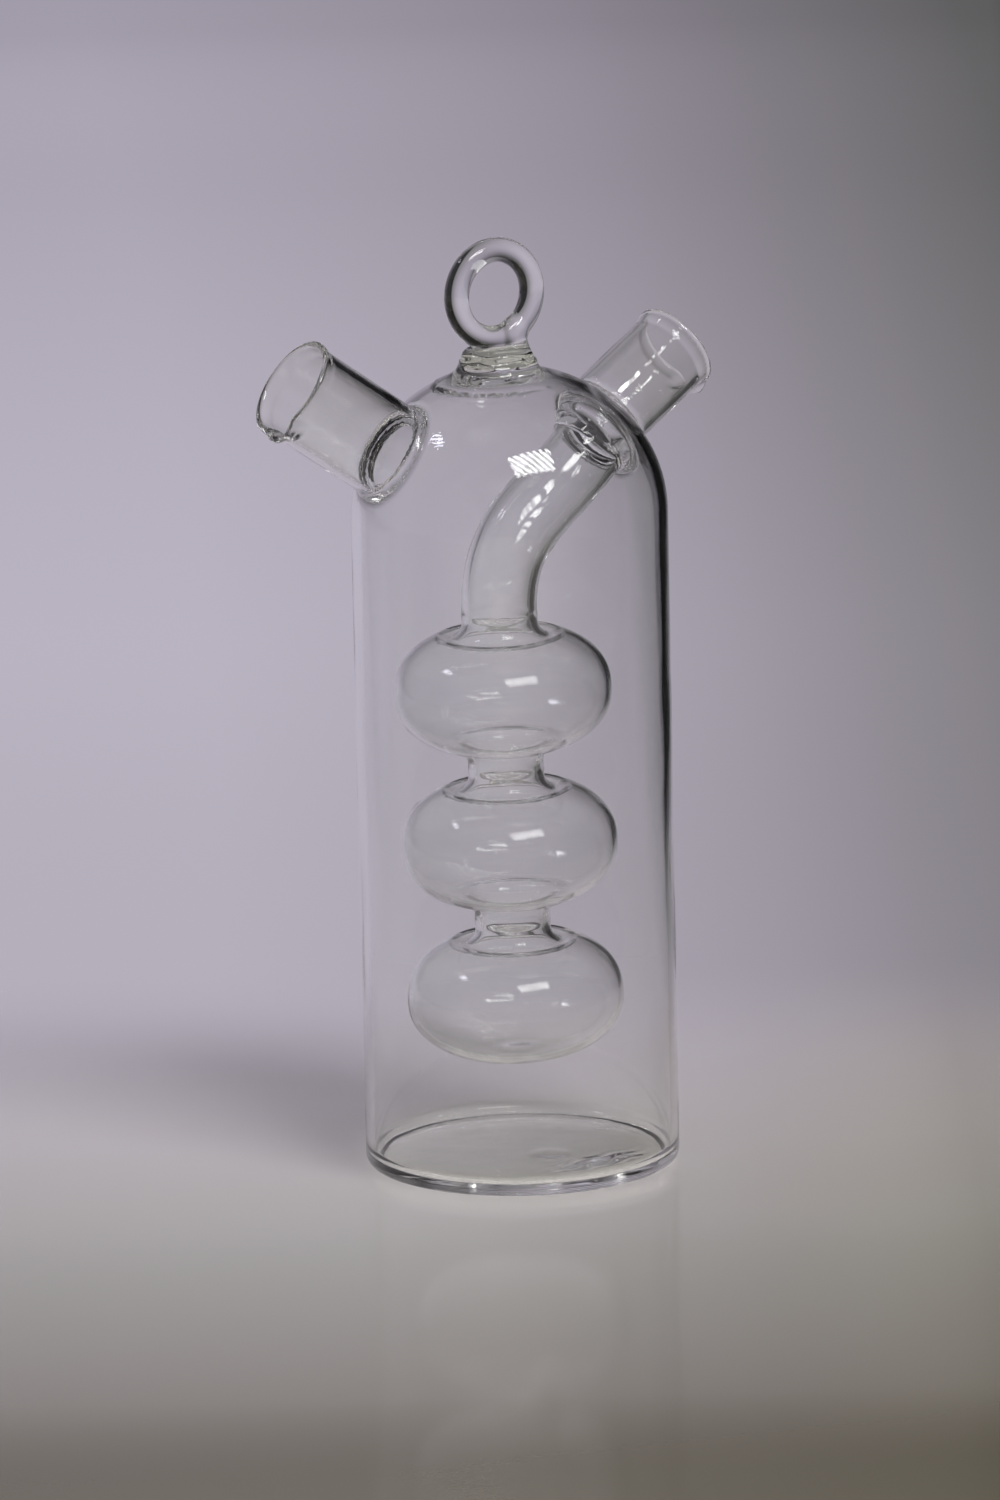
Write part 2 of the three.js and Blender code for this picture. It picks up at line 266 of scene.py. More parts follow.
def spout_way(p, place):
    """The bore of a spout down to the shoulder, and the smaller hole through it. The shoulder keeps its curve and
    its thickness there."""
    along, r, _ = place.measure(p)
    ends = np.maximum(np.maximum(-bottle(p, 0.0), BORE_FROM - along), along - SPOUT_SEAM - PAST_SEAM)
    bore = polished(r - place.bore, ends, BORE_EDGE_ROUNDING)
    hole = np.maximum(r - place.hole_radius, np.maximum(BLANK_FROM - along, along - HOLE_TO))
    return welded(bore, hole, HOLE_EDGE_ROUNDING)


def outside_of_bottle(p):
    body = polished(bottle(p, 0), -p[:, 2], FOOT_ROUNDING)
    crown = welded(seat_and_button(p), loop(p), LOOP_FILLET)
    form = welded(body, crown, CROWN_FILLET)
    for place in (left, right):
        form = welded(form, spout_blank(p, place), SPOUT_FILLET)
    return form


def bulb(r, height, inset, dip_above, dip_below, dimple):
    """A flattened bulb, pulled in round its waists by a moat above and below, or closed with a dimple below."""
    radius, half = BULB_RADIUS - inset, BULB_HALF_HEIGHT - inset
    q = BULB_SQUARENESS
    u, w = r / radius + 1e-5, np.abs(height) / half + 1e-5
    k = (u**q + w**q) ** (1 / q)
    steepness = np.hypot(u ** (q - 1) / radius, w ** (q - 1) / half) * k ** (1 - q)
    off_belt = smooth_step(w, 0.5, 0.8)
    moat = (1 - smooth_step(r, MOAT_FLOOR, MOAT_RIM)) * off_belt
    below = dip_below * moat + dimple * np.exp(-((r / DIMPLE_RADIUS) ** 2)) * off_belt
    return (k - 1) / steepness + np.where(height > 0, dip_above * moat, below)


def neck_measure(p):
    """Distance to the neck's centreline, found from the nearest of many points and then refined."""
    t = np.linspace(0, 1, 33)
    basis = np.stack([(1 - t) ** 3, 3 * t * (1 - t) ** 2, 3 * t * t * (1 - t), t**3], 1)
    knots = basis @ NECK_PATH
    best = np.empty(len(p))
    for at in range(0, len(p), 40000):
        part = p[at : at + 40000]
        apart = (part**2).sum(1)[:, None] - 2 * part @ knots.T + (knots**2).sum(1)[None]
        best[at : at + 40000] = t[apart.argmin(1)]
    a, b, c, d = NECK_PATH
    for _ in range(3):
        s = best[:, None]
        place = (1 - s) ** 3 * a + 3 * s * (1 - s) ** 2 * b + 3 * s * s * (1 - s) * c + s**3 * d
        first = 3 * ((1 - s) ** 2 * (b - a) + 2 * s * (1 - s) * (c - b) + s * s * (d - c))
        second = 6 * ((1 - s) * (c - 2 * b + a) + s * (d - 2 * c + b))
        off = place - p
        slope = (first * first).sum(1) + (off * second).sum(1)
        best = np.clip(best - (off * first).sum(1) / np.maximum(slope, 50), 0, 1)
    s = best[:, None]
    place = (1 - s) ** 3 * a + 3 * s * (1 - s) ** 2 * b + 3 * s * s * (1 - s) * c + s**3 * d
    return np.linalg.norm(p - place, axis=1)


def insert(p, inner):
    """The inner vessel as one form: its outside, or with inner the space in it, up to the shoulder."""
    inset, tube_radius = (BULB_WALL, NECK_RADIUS - NECK_WALL) if inner else (0.0, NECK_RADIUS)
    height = p @ lean
    r = np.linalg.norm(p - height[:, None] * lean, axis=1)
    off_seams = [(height - centre - SEAM_HEIGHT) / SEAM_BEAD_WIDTH for centre in BULB_CENTRES]
    bead = 0 if inner else sum(SEAM_BEAD * np.exp(-(off**2)) for off in off_seams)
    beyond = height - np.clip(height, BULB_CENTRES[0], NECK_START)
    form = np.hypot(r, beyond) - tube_radius - bead
    near = p[:, 2] > NECK_MODEL_FROM
    if near.any():
        neck = np.full(len(p), 99.0)
        neck[near] = neck_measure(p[near]) - tube_radius
        form = np.minimum(form, neck)
    for i, centre in enumerate(BULB_CENTRES):
        below, dimple = (MOAT_DEPTH * LOWER_MOAT_SHARE, 0) if i else (0, LOWER_DIMPLE)
        one = bulb(r, height - centre, inset, MOAT_DEPTH, below, dimple)
        form = welded(form, one, WAIST_FILLET_INSIDE if inner else WAIST_FILLET)
    q = p - neck_end
    along = q @ neck_arrival
    off = np.linalg.norm(q - along[:, None] * neck_arrival, axis=1)
    lip = NECK_WALL if inner else 0.0
    cup = polished(off - SEAL_RADIUS + lip, np.maximum(lip - along, along - SEAL_LENGTH), SEAL_ROUNDING)
    return welded(form, cup, SEAL_FILLET)


def space_in_bottle(p, with_insert=True):
    """Everything the outer vessel holds: its room, round the inner vessel, and its way out on the left."""
    room = polished(bottle(p, BODY_WALL), FLOOR_THICKNESS - floor_wave(p) - p[:, 2], FLOOR_FILLET)
    if with_insert:
        along = (p - neck_end) @ neck_arrival
        stub = np.maximum(insert(p, False), SEAL_REACH - along)
        room = polished(room, -stub, SEAL_CORNER_OUTSIDE)
    return welded(room, spout_way(p, left), HOLE_RIM_FILLET)


def floor_wave(p):
    """The floor was closed by hand: a pinched fold towards the front right, and a shallow dent near the middle."""
    x, y = p[:, 0] - FOLD_CENTRE[0], p[:, 1] - FOLD_CENTRE[1]
    along, off = x * FOLD_WAY[0] + y * FOLD_WAY[1], y * FOLD_WAY[0] - x * FOLD_WAY[1]
    patch = np.exp(-((along / FOLD_LENGTH) ** 2) - (off / FOLD_WIDTH) ** 2)
    fold = patch * np.sin(off * 2.3 + np.sin(along * 0.8) * 1.2)
    dent = np.exp(-((np.hypot(p[:, 0] - DENT_CENTRE[0], p[:, 1] - DENT_CENTRE[1]) / DENT_RADIUS) ** 4))
    return FOLD_HEIGHT * fold - DENT_DEPTH * dent


def space_to_right_spout(p):
    """The last of the neck, its cup under the shoulder, the hole and the bore of the right spout."""
    along = (p - neck_end) @ neck_arrival
    cup = polished(np.maximum(insert(p, True), SEAL_REACH - along), bottle(p, BODY_WALL), SEAL_CORNER_INSIDE)
    return welded(cup, spout_way(p, right), HOLE_RIM_FILLET)


def spout_wall(p, place):
    """The tube of a spout, its rim flared and fire-polished and drawn out to a pouring lip."""
    along, r, turn = place.measure(p)
    share = np.minimum(np.abs(turn) / math.radians(LIP_HALF_ANGLE), 1)
    pull = np.cos(share * math.pi / 2) ** 2 * smooth_step(along, place.reach - LIP_LENGTH, place.reach)
    flare = RIM_FLARE * smooth_step(along, place.reach - RIM_LENGTH, place.reach)
    middle = place.radius - SPOUT_WALL / 2 + flare + LIP_REACH * pull
    top = place.reach - SPOUT_WALL / 2 - LIP_SET_BACK * pull
    over = np.maximum(along - top, 0)
    return np.hypot(r - middle, over) - SPOUT_WALL / 2


# ---- From a form to a mesh ----
SURFACE_STEPS = 4
MILLIMETRE = 0.001


def direction_out(form, p):
    """The way the surface faces at each point: the gradient of the form."""
    step = 0.02
    parts = []
    for axis in range(3):
        shift = np.zeros(3)
        shift[axis] = step
        parts.append((form(p + shift) - form(p - shift)) / (2 * step))
    return np.stack(parts, 1)


def skin(form, low, high, cell):
    """A mesh of quads over the surface of a form in a box, with each corner moved onto the exact surface."""
    axes = [np.arange(a, b + cell, cell) for a, b in zip(low, high)]
    grid = np.stack(np.meshgrid(*axes, indexing="ij"), -1)
    value = form(grid.reshape(-1, 3)).reshape(grid.shape[:3])
    cells = np.array(value.shape) - 1
    count = np.zeros(cells.prod())
    total = np.zeros((cells.prod(), 3))
    quads = []
    for axis in range(3):
        u, v = (axis + 1) % 3, (axis + 2) % 3
        here = np.take(value, np.arange(value.shape[axis] - 1), axis)
        there = np.take(value, np.arange(1, value.shape[axis]), axis)
        at = np.argwhere((here < 0) != (there < 0))
        keep = (at[:, u] > 0) & (at[:, v] > 0) & (at[:, u] < cells[u]) & (at[:, v] < cells[v])
        at = at[keep]
        a, b = here[tuple(at.T)], there[tuple(at.T)]
        point = at.astype(float)
        point[:, axis] += a / (a - b)
        ring = []
        for du, dv in ((0, 0), (-1, 0), (-1, -1), (0, -1)):
            corner = at.copy()
            corner[:, u] += du
            corner[:, v] += dv
            index = np.ravel_multi_index(tuple(corner.T), tuple(cells))
            ring.append(index)
            count += np.bincount(index, minlength=len(count))
            for k in range(3):
                total[:, k] += np.bincount(index, point[:, k], minlength=len(count))
        ring = np.stack(ring, 1)
        ring[a > 0] = ring[a > 0][:, ::-1]
        quads.append(ring)
    quads = np.concatenate(quads)
    used, quads = np.unique(quads, return_inverse=True)
    points = total[used] / count[used][:, None] * cell + np.array(low)
    for _ in range(SURFACE_STEPS):
        gradient = direction_out(form, points)
        steep = np.maximum((gradient**2).sum(1), 0.05)
        move = gradient * (form(points) / steep)[:, None]
        length = np.linalg.norm(move, axis=1)[:, None]
        points -= move * np.minimum(1, 0.6 * cell / np.maximum(length, 1e-9))
    return points, quads.reshape(-1, 4)


def glass_piece(name, skins, cuts, node, slot, materials):
    """One blank: its skins, cut off on the seam planes and closed there.

    skins: (form, outside, low, high, cell), where outside is False for the wall of a space.
    cuts: (point on the seam, direction to cut away, middle of the seam, radius that the cut reaches)."""
    mesh = bpy.data.meshes.new(name)
    build = bmesh.new()
    skin_layer = build.verts.layers.int.new("skin")
    for number, (form, outside, low, high, cell) in enumerate(skins):
        points, quads = skin(form, low, high, cell)
        corners = [build.verts.new(p) for p in points]
        for corner in corners:
            corner[skin_layer] = number
        for quad in quads if outside else quads[:, ::-1]:
            if len(set(quad)) == 4:
                build.faces.new([corners[i] for i in quad])
    # where two walls of a form come within one cell of each other, they are joined at a point
    pinched = [edge for edge in build.edges if len(edge.link_faces) > 2]
    bmesh.ops.collapse(build, edges=pinched)
    for point, away, middle, reach in cuts:
        middle, away = np.asarray(middle), unit(away)
        build.faces.ensure_lookup_table()
        near = []
        for face in build.faces:
            if reach is None or np.linalg.norm(np.array(face.calc_center_median()) - middle) < reach:
                near.append(face)
        parts = near + list({e for f in near for e in f.edges}) + list({v for f in near for v in f.verts})
        found = bmesh.ops.bisect_plane(
            build, geom=parts, dist=1e-4, plane_co=point, plane_no=away, clear_outer=True, clear_inner=False
        )
        rim = [e for e in found["geom_cut"] if isinstance(e, bmesh.types.BMEdge) and e.is_valid]
        rim = [e for e in rim if len(e.link_faces) == 1]
        before = set(build.faces)
        bmesh.ops.triangle_fill(build, edges=rim, use_beauty=False, normal=away)
        for face in set(build.faces) - before:
            face.material_index = 1
    loose = [v for v in build.verts if not v.link_faces]
    bmesh.ops.delete(build, geom=loose, context="VERTS")
    bmesh.ops.recalc_face_normals(build, faces=build.faces)
    owner = np.array([v[skin_layer] for v in build.verts])
    place = np.array([v.co for v in build.verts])
    for face in build.faces:
        face.smooth = face.material_index == 0
    build.to_mesh(mesh)
    build.free()
    facing = np.zeros_like(place)
    for number, (form, outside, *_) in enumerate(skins):
        mine = owner == number
        facing[mine] = direction_out(form, place[mine]) * (1 if outside else -1)
    facing /= np.maximum(np.linalg.norm(facing, axis=1), 1e-9)[:, None]
    mesh.normals_split_custom_set_from_vertices(facing.tolist())
    mesh.transform(Matrix.Scale(MILLIMETRE, 4))
    for material in materials:
        mesh.materials.append(material)
    piece = bpy.data.objects.new(name, mesh)
    bpy.context.scene.collection.objects.link(piece)
    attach(piece, "root")
    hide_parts(node)
    return piece


# ---- Materials ----
def linear(colour):
    """An sRGB hex colour as the linear RGBA that shaders take."""
    values = [int(colour[i : i + 2], 16) / 255 for i in (1, 3, 5)]
    return tuple(v / 12.92 if v <= 0.04045 else ((v + 0.055) / 1.055) ** 2.4 for v in values) + (1.0,)


def node(tree, kind, settings=None, links=None):
    """Adds one node. settings: its own properties by name and its sockets' values by name or number.
    links: for each socket, the output that feeds it."""
    made = tree.nodes.new(kind)
    for key, value in (settings or {}).items():
        if isinstance(key, str) and hasattr(made, key):
            setattr(made, key, value)
        else:
            made.inputs[key].default_value = value
    for key, source in (links or {}).items():
        tree.links.new(source, made.inputs[key])
    return made


def new_material(name):
    material = bpy.data.materials.new(name)
    material.use_nodes = True
    material.node_tree.nodes.clear()
    return material, material.node_tree


BOROSILICATE_IOR = 1.474
TINT_PATCH = 0.018
WIPE_MARK = 0.006


def borosilicate_glass(name, pale, deep, wave, wave_height, shade="#FDFDFD"):
    """Borosilicate tube and rod worked in the flame: water-clear, IOR 1.474, fire-polished. The eye gets it from
    dark edges, sharp reflections and the slow waves that the flame leaves in a drawn wall.

    pale, deep: the glass colour where it is thin and where the batch runs thicker.
    wave, wave_height: size and depth in metres of the waves left by the flame.
    shade: what one wall lets through to the table."""
    material, tree = new_material(name)
    place = node(tree, "ShaderNodeTexCoord").outputs["Object"]
    # the melt pulls into soft waves some millimetres long, longer up the tube than round it
    drawn = node(tree, "ShaderNodeMapping", {"Scale": (1.0, 1.0, 0.45)}, {"Vector": place}).outputs[0]
    slow = node(tree, "ShaderNodeTexNoise", {"Scale": 1 / wave, "Detail": 1.5, "Roughness": 0.4}, {"Vector": drawn})
    relief = node(
        tree, "ShaderNodeBump", {"Strength": 1.0, "Distance": wave_height}, {"Height": slow.outputs["Fac"]}
    )
    # a breath of green-yellow where the batch runs thicker
    cast = node(tree, "ShaderNodeTexNoise", {"Scale": 1 / TINT_PATCH, "Detail": 2.0}, {"Vector": place})
    tint = node(
        tree,
        "ShaderNodeMix",
        {"data_type": "RGBA", 6: linear(pale), 7: linear(deep)},
        {0: cast.outputs["Fac"]},
    )
    # handling leaves the polish a little uneven
    wiped = node(tree, "ShaderNodeTexNoise", {"Scale": 1 / WIPE_MARK, "Detail": 3.0}, {"Vector": place})
    rough = node(
        tree,
        "ShaderNodeMapRange",
        {"From Min": 0.45, "From Max": 0.75, "To Min": 0.0, "To Max": 0.02},
        {"Value": wiped.outputs["Fac"]},
    )
    glass = node(
        tree,
        "ShaderNodeBsdfPrincipled",
        {"IOR": BOROSILICATE_IOR, "Transmission Weight": 1.0, "Metallic": 0.0},
        {"Base Color": tint.outputs[2], "Roughness": rough.outputs[0], "Normal": relief.outputs[0]},
    )
    # lamps reach the table through clear glass, so its shadow stays pale
    through = node(tree, "ShaderNodeBsdfTransparent", {"Color": linear(shade)})
    rays = node(tree, "ShaderNodeLightPath")
    mix = node(
        tree,
        "ShaderNodeMixShader",
        None,
        {0: rays.outputs["Is Shadow Ray"], 1: glass.outputs[0], 2: through.outputs[0]},
    )
    node(tree, "ShaderNodeOutputMaterial", None, {"Surface": mix.outputs[0]})
    return material


def fused_seam():
    """Inside a weld there is only glass, so nothing shows on the plane where two blanks meet."""
    material, tree = new_material("fused_seam")
    clear = node(tree, "ShaderNodeBsdfTransparent", {"Color": (1, 1, 1, 1)})
    node(tree, "ShaderNodeOutputMaterial", None, {"Surface": clear.outputs[0]})
    return material


clear_glass = borosilicate_glass("borosilicate_flame_worked", "#FFFFFF", "#FDFEFC", 0.009, 0.00012)
# the wide tube is drawn thicker, and it gives the table its shadow
wide_tube_glass = borosilicate_glass("borosilicate_wide_tube", "#FFFFFF", "#FDFEFC", 0.012, 0.00012, "#E2E2E2")
# the button is a gather of melted rod: green, with short deep waves
thick_glass = borosilicate_glass("borosilicate_thick_melt", "#EEF3DE", "#E0E9C8", 0.004, 0.00030)
# the floor is pressed flat, so its waves are long and shallow
floor_glass = borosilicate_glass("borosilicate_pressed_floor", "#FFFFFE", "#FBFDF7", 0.012, 0.00010)
spout_glass = borosilicate_glass("borosilicate_spout_tube", "#FFFFFE", "#FAFCF5", 0.007, 0.00012)
seam = fused_seam()
CLEAR = ("clear_glass", [clear_glass, seam])
SPOUT = ("clear_glass", [spout_glass, seam])
VESSEL = ("clear_glass", [wide_tube_glass, seam])
THICK = ("thick_glass", [thick_glass, seam])
FLOOR = ("thick_glass", [floor_glass, seam])


# ---- The ten blanks ----
def spout_seam(place, away, reach=15.0):
    middle = place.root + place.axis * SPOUT_SEAM
    return middle, place.axis * away, middle, reach


def neck_seam(away):
    middle = neck_end + neck_arrival * NECK_SEAM
    return middle, neck_arrival * away, middle - neck_arrival * 2.5, 9.3


def level_seam(height, away):
    return (0, 0, height), (0, 0, away), (0, 0, 0), None


def leaning_seam(height, away):
    return lean * height, lean * away, (0, 0, 0), None


def spout_box(place):
    room_round = 12.5
    ends = np.array([place.root + place.axis * 1.5, place.root + place.axis * (place.reach + 2)])
    return ends.min(0) - room_round, ends.max(0) + room_round


def outer_vessel():
    low, high = (-36, -31, 3.5), (36, 31, 148.5)
    skins = [
        (outside_of_bottle, True, low, high, 0.9),
        (space_in_bottle, False, low, high, 0.9),
        (space_to_right_spout, False, (6, -10, 116), (38, 16, 149), 0.6),
    ]
    cuts = [
        spout_seam(left, 1),
        spout_seam(right, 1),
        level_seam(BUTTON_SEAT, 1),
        neck_seam(-1),
        level_seam(BASE_HEIGHT, -1),
    ]
    return glass_piece("outer_vessel_glass", skins, cuts, "outer_vessel", *VESSEL)


def base_disc():
    low, high = (-30, -30, -1.5), (30, 30, 6.8)
    skins = [
        (outside_of_bottle, True, low, high, 0.6),
        (lambda p: space_in_bottle(p, False), False, low, high, 0.6),
    ]
    return glass_piece("base_glass", skins, [level_seam(BASE_HEIGHT, 1)], "base_disc", *FLOOR)


def spout(name, place, node_name):
    low, high = spout_box(place)
    skins = [(lambda p: spout_wall(p, place), True, low, high, 0.42)]
    return glass_piece(name, skins, [spout_seam(place, -1, None)], node_name, *SPOUT)


def bulb_blank(name, number, node_name):
    centre = BULB_CENTRES[number]
    top = centre + SEAM_HEIGHT
    bottom = centre - 13.5 if number == 0 else BULB_CENTRES[number - 1] + SEAM_HEIGHT
    spare = 1.8
    low, high = (-24, -21, bottom - spare), (22, 21, top + spare)
    skins = [
        (lambda p: insert(p, False), True, low, high, 0.65),
        (lambda p: insert(p, True), False, low, high, 0.65),
    ]
    cuts = [leaning_seam(top, 1)] + ([leaning_seam(bottom, -1)] if number else [])
    return glass_piece(name, skins, cuts, node_name, *CLEAR)


def neck():
    low, high = (-11, -9, 99), (28, 13, 135)
    skins = [
        (lambda p: insert(p, False), True, low, high, 0.6),
        (lambda p: insert(p, True), False, low, high, 0.6),
    ]
    middle, away, _, _ = neck_seam(1)
    cuts = [(middle, away, middle, None), leaning_seam(BULB_CENTRES[2] + SEAM_HEIGHT, -1)]
    return glass_piece("neck_glass", skins, cuts, "neck_tube", *CLEAR)


def button():
    low, high = (-10.5, -8.5, 146.2), (6.5, 8.5, 151)
    skins = [(outside_of_bottle, True, low, high, 0.4)]
    cuts = [level_seam(BUTTON_SEAT, -1), level_seam(LOOP_SEAM, 1)]
    return glass_piece("button_glass", skins, cuts, "top_button", *THICK)


def hanging_loop():
    low, high = (-14, -8, 148.8), (10, 8, 171)
    skins = [(outside_of_bottle, True, low, high, 0.42)]
    return glass_piece("loop_glass", skins, [level_seam(LOOP_SEAM, -1)], "hanging_loop", *CLEAR)


pieces = [
    outer_vessel(),
    base_disc(),
    spout("left_spout_glass", left, "left_spout"),
    spout("right_spout_glass", right, "right_spout"),
    neck(),
    bulb_blank("lower_bulb_glass", 0, "lower_bulb"),
    bulb_blank("middle_bulb_glass", 1, "middle_bulb"),
    bulb_blank("upper_bulb_glass", 2, "upper_bulb"),
    button(),
    hanging_loop(),
]

# ---- Camera: a long lens two metres away, a little above the bottle and turned to its left ----
VIEW_TURN, VIEW_DROP, VIEW_ROLL = math.radians(-33), math.radians(12.6), math.radians(1.2)
VIEW_DISTANCE = 2.0
FOCAL_PIXELS = 11107
PICTURE_HEIGHT = 1500
SENSOR_HEIGHT = 36
OFF_CENTRE = (13.4, 49.0)
AIM_HEIGHT = 0.085
forward = np.array(
    [-math.sin(VIEW_TURN) * math.cos(VIEW_DROP), math.cos(VIEW_TURN) * math.cos(VIEW_DROP), -math.sin(VIEW_DROP)]
)
level_right = np.array([math.cos(VIEW_TURN), math.sin(VIEW_TURN), 0.0])
level_back = np.array([-math.sin(VIEW_TURN), math.cos(VIEW_TURN), 0.0])
view_up = np.cross(level_right, forward)
rolled_right = level_right * math.cos(VIEW_ROLL) - view_up * math.sin(VIEW_ROLL)
rolled_up = level_right * math.sin(VIEW_ROLL) + view_up * math.cos(VIEW_ROLL)
eye = np.array([0, 0, AIM_HEIGHT]) - forward * VIEW_DISTANCE
aim = unit(forward - rolled_right * OFF_CENTRE[0] / FOCAL_PIXELS - rolled_up * OFF_CENTRE[1] / FOCAL_PIXELS)
side = unit(rolled_right - aim * (rolled_right @ aim))
top = np.cross(side, aim)

camera_data = bpy.data.cameras.new("studio_camera")
camera_data.sensor_fit = "VERTICAL"
camera_data.sensor_height = SENSOR_HEIGHT
camera_data.lens = FOCAL_PIXELS / PICTURE_HEIGHT * SENSOR_HEIGHT
camera_data.clip_start = 0.05
camera = bpy.data.objects.new("studio_camera", camera_data)
bpy.context.scene.collection.objects.link(camera)
camera.matrix_world = Matrix([(side[k], top[k], -aim[k], eye[k]) for k in range(3)] + [(0, 0, 0, 1)])
bpy.context.scene.camera = camera


# ---- Floor and backdrop: one sweep with painted shade, palest behind the bottle, greyer overhead and dark to the right ----
def tone_ramp(tree, value, stops):
    """Tones along a distance in metres: stops are (distance, sRGB hex)."""
    low, high = stops[0][0], stops[-1][0]
    share = node(tree, "ShaderNodeMapRange", {"From Min": low, "From Max": high}, {"Value": value}).outputs[0]
    ramp = node(tree, "ShaderNodeValToRGB", None, {0: share})
    band = ramp.color_ramp
    band.interpolation = "CARDINAL"
    while len(band.elements) < len(stops):
        band.elements.new(0.5)
    for element, (at, colour) in zip(band.elements, stops):
        element.position = (at - low) / (high - low)
        element.color = linear(colour)
    return ramp.outputs[0]


def smooth_share(tree, value, limits):
    """0 at the first limit and 1 at the second, with an easy start and end."""
    settings = {"From Min": limits[0], "From Max": limits[1], "interpolation_type": "SMOOTHSTEP"}
    return node(tree, "ShaderNodeMapRange", settings, {"Value": value}).outputs[0]


def product(tree, first, second):
    """Two tones multiplied."""
    return node(
        tree, "ShaderNodeMix", {"data_type": "RGBA", "blend_type": "MULTIPLY", 0: 1.0}, {6: first, 7: second}
    ).outputs[2]


# painted shade across the table, left to right: palest at the bottle's left, darker to the far left and to the right
TABLE_SIDE_PAINTED_SHADE = [(-0.5, "#D8D6DA"), (-0.06, "#FFFFFF"), (0.037, "#F0EEED"), (0.082, "#D8D6CE"), (0.5, "#707070")]
# painted shade from the front edge of the table to the back: darkest some 20 cm in front of the bottle
TABLE_DEPTH_PAINTED_SHADE = [(-0.6, "#C0BEB8"), (-0.3, "#77736C"), (-0.204, "#5B574E"), (-0.155, "#736F6A"), (-0.06, "#908E8B"),
               (0.01, "#A4A0A1"), (0.12, "#ADA8B1")]
# painted shade across the backdrop, left to right: palest behind and left of the bottle, darker to both sides
BACK_SIDE_PAINTED_SHADE = [(-0.9, "#707070"), (-0.45, "#FFFFFF"), (-0.07, "#FFFFFF"), (0.044, "#DCDBDA"), (0.135, "#999D92"),
             (0.5, "#606060")]
# painted shade up the backdrop: greyer overhead
BACK_HEIGHT_PAINTED_SHADE = [(0.0, "#B5AFBC"), (0.025, "#B9B3C1"), (0.08, "#ADA7B5"), (0.112, "#A39DAB"), (0.384, "#5C5860")]
# the painted grey on the right reaches further left the higher it is
PAINTED_GREY_LEAN = 0.34
PAINTED_GREY_SHIFT = 0.011
# past its right edge the backdrop is painted near black as shade, and that draws the dark lines along the glass walls
PAINTED_DARK_ACROSS = (0.113, 0.130)
PAINTED_DARK_BEHIND = (0.13, 0.25)
PAINTED_DARK_SHARE = 0.06
# where the lit table turns into the backdrop
BACKDROP_FROM = (0.06, 0.15)
# the real grain is about 0.2 mm, too fine to show here, so it is drawn at 1.2 mm
LAMINATE_GRAIN = 0.0012
TABLE_END = 0.16
BEND_RADIUS = 0.9
BEND_ANGLE = 55
BEND_STEPS = 40
# the sweep starts this much below the foot, so the two never share a plane
SWEEP_LIFT = -0.00008


def sweep_material():
    """Satin laminate: a sheet that mirrors the foot of the bottle softly on the table, with painted shade that
    darkens it to the front and to the sides. Where it rises it is a matt backdrop, seen and mirrored as a glow at
    painted tones that carry painted shade: greyer overhead, darker to the sides and near black past its right edge."""
    material, tree = new_material("sweep_satin_laminate_with_painted_shade")
    place = node(tree, "ShaderNodeNewGeometry").outputs["Position"]
    across, deep, height = (
        node(tree, "ShaderNodeVectorMath", {"operation": "DOT_PRODUCT", 1: tuple(way)}, {0: place}).outputs["Value"]
        for way in (level_right, level_back, (0, 0, 1))
    )
    raised = {"operation": "MULTIPLY_ADD", 1: PAINTED_GREY_LEAN}
    leaning = node(tree, "ShaderNodeMath", raised, {0: height, 2: across}).outputs[0]
    shifted = node(tree, "ShaderNodeMath", {"operation": "SUBTRACT", 1: PAINTED_GREY_SHIFT}, {0: leaning}).outputs[0]
    # the table's and the backdrop's tones below carry painted shade
    table_tone_and_painted_shade = product(tree, tone_ramp(tree, across, TABLE_SIDE_PAINTED_SHADE), tone_ramp(tree, deep, TABLE_DEPTH_PAINTED_SHADE))
    backdrop_painted_tone = product(tree, tone_ramp(tree, shifted, BACK_SIDE_PAINTED_SHADE), tone_ramp(tree, height, BACK_HEIGHT_PAINTED_SHADE))
    past_edge, past_table = (
        smooth_share(tree, value, limits) for value, limits in ((across, PAINTED_DARK_ACROSS), (deep, PAINTED_DARK_BEHIND))
    )
    # painted shade: past the right edge and behind the table, the backdrop's glow is turned down to near black
    dark = node(tree, "ShaderNodeMath", {"operation": "MULTIPLY"}, {0: past_edge, 1: past_table}).outputs[0]
    painted_light_share = node(tree, "ShaderNodeMapRange", {"To Min": 1.0, "To Max": PAINTED_DARK_SHARE}, {"Value": dark}).outputs[0]
    backdrop_painted_tone = product(tree, backdrop_painted_tone, painted_light_share)
    # its satin sheen is closest to a mirror round the bottle and fades to the back
    satin = node(
        tree,
        "ShaderNodeMapRange",
        {"From Min": 0.03, "From Max": 0.14, "To Min": 0.09, "To Max": 0.26},
        {"Value": deep},
    )
    grain = node(tree, "ShaderNodeTexNoise", {"Scale": 1 / LAMINATE_GRAIN, "Detail": 3.0}, {"Vector": place})
    relief = node(tree, "ShaderNodeBump", {"Strength": 0.1, "Distance": 0.00004}, {"Height": grain.outputs["Fac"]})
    sheet = node(
        tree,
        "ShaderNodeBsdfPrincipled",
        {"IOR": 1.45},
        {"Base Color": table_tone_and_painted_shade, "Roughness": satin.outputs[0], "Normal": relief.outputs[0]},
    )
    glow = node(tree, "ShaderNodeEmission", {"Strength": 1.0}, {"Color": backdrop_painted_tone})
    rays = node(tree, "ShaderNodeLightPath")
    seen = rays.outputs["Is Camera Ray"]
    for kind in ("Is Glossy Ray", "Is Transmission Ray"):
        seen = node(tree, "ShaderNodeMath", {"operation": "MAXIMUM"}, {0: seen, 1: rays.outputs[kind]}).outputs[0]
    risen = smooth_share(tree, deep, BACKDROP_FROM)
    share = node(tree, "ShaderNodeMath", {"operation": "MULTIPLY"}, {0: seen, 1: risen})
    mix = node(tree, "ShaderNodeMixShader", None, {0: share.outputs[0], 1: sheet.outputs[0], 2: glow.outputs[0]})
    node(tree, "ShaderNodeOutputMaterial", None, {"Surface": mix.outputs[0]})
    return material


